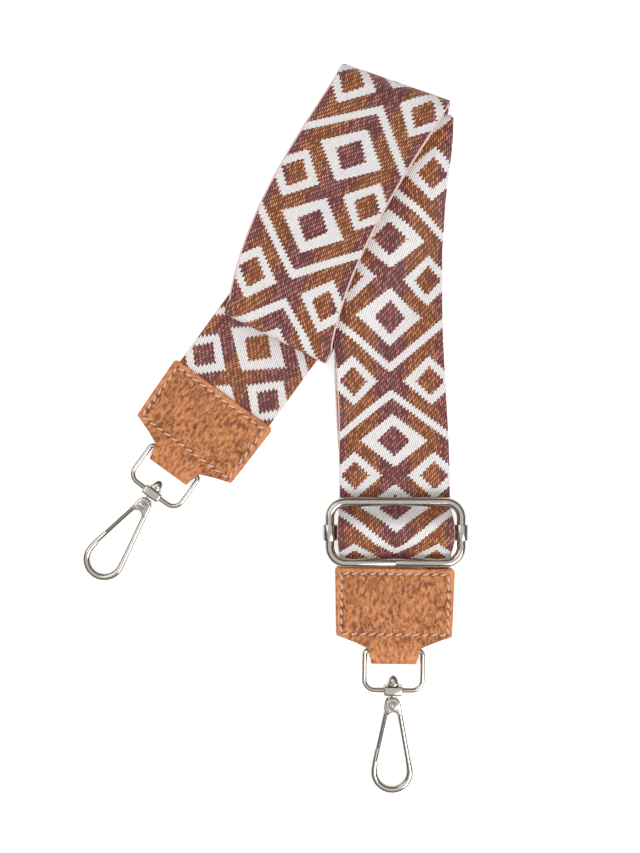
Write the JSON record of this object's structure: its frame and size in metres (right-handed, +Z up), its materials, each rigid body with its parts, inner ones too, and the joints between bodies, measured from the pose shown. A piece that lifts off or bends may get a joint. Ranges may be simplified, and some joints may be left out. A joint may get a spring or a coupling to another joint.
{
  "type": "adjustable crossbody bag strap",
  "caption": "Folded adjustable shoulder strap of wide patterned webbing with a wire slider, leather ends and swivel snap hooks.",
  "frame": {"origin": "middle of the base of the folded strap's box, on the table", "axes": "+Y from the hooks to the top fold, along the slider's travel; +Z up from the table"},
  "size_m": [0.1736, 0.3264, 0.02],
  "materials": {
    "webbing": "jacquard woven, matt",
    "leather": "pebbled, satin",
    "nickel": "polished nickel plate",
    "rivet_steel": "brushed",
    "spring_steel": "drawn wire"
  },
  "bodies": {
    "strap": {"long_webbing": "webbing", "short_webbing": "webbing", "joining_ring": "nickel", "leather_end_a": "leather", "leather_end_b": "leather"},
    "slider_bar": {"slider_bar": "nickel", "webbing_bight": "webbing", "webbing_end_loop": "webbing"},
    "slider_frame": {"slider_frame": "nickel"},
    "hook_ring_a": {"hook_ring_a": "nickel"},
    "hook_ring_b": {"hook_ring_b": "nickel"},
    "hook_body_a": {"hook_body_a": "nickel", "rivet_a": "rivet_steel", "gate_spring_a": "spring_steel"},
    "hook_body_b": {"hook_body_b": "nickel", "rivet_b": "rivet_steel", "gate_spring_b": "spring_steel"},
    "gate_a": {"gate_a": "nickel"},
    "gate_b": {"gate_b": "nickel"}
  },
  "joints": [
    {"name": "slider_travel", "type": "slide", "parent": "strap", "child": "slider_bar", "axis": [0, 1, 0], "range_m": [0, 0.023]},
    {"name": "slider_play", "type": "slide", "parent": "slider_bar", "child": "slider_frame", "axis": [0, 1, 0], "range_m": [-0.0015, 0.0015]},
    {"name": "ring_a_swing", "type": "hinge", "parent": "strap", "child": "hook_ring_a", "pos_m": [-0.04498, -0.01331, 0.00315], "axis": [0.809, -0.5878, 0], "range_deg": [-80, 80]},
    {"name": "ring_b_swing", "type": "hinge", "parent": "strap", "child": "hook_ring_b", "pos_m": [0.05355, -0.09885, 0.00315], "axis": [0.9999, -0.014, 0], "range_deg": [-80, 80]},
    {"name": "hook_a_swivel", "type": "hinge", "parent": "hook_ring_a", "child": "hook_body_a", "pos_m": [-0.05926, -0.03297, 0.0029], "axis": [0.5878, 0.809, 0.0105], "continuous": true},
    {"name": "hook_b_swivel", "type": "hinge", "parent": "hook_ring_b", "child": "hook_body_b", "pos_m": [0.05321, -0.12315, 0.0029], "axis": [0.014, 0.9998, 0.0105], "continuous": true},
    {"name": "gate_a_open", "type": "hinge", "parent": "hook_body_a", "child": "gate_a", "pos_m": [-0.05926, -0.03297, 0.0029], "axis": [-0.0062, -0.0085, 0.9999], "range_deg": [0, 24], "stiffness_Nm_per_rad": 0.02, "springref_deg": -28.65},
    {"name": "gate_b_open", "type": "hinge", "parent": "hook_body_b", "child": "gate_b", "pos_m": [0.05321, -0.12315, 0.0029], "axis": [-0.0001, -0.0105, 0.9999], "range_deg": [0, 24], "stiffness_Nm_per_rad": 0.02, "springref_deg": -28.65}
  ]
}
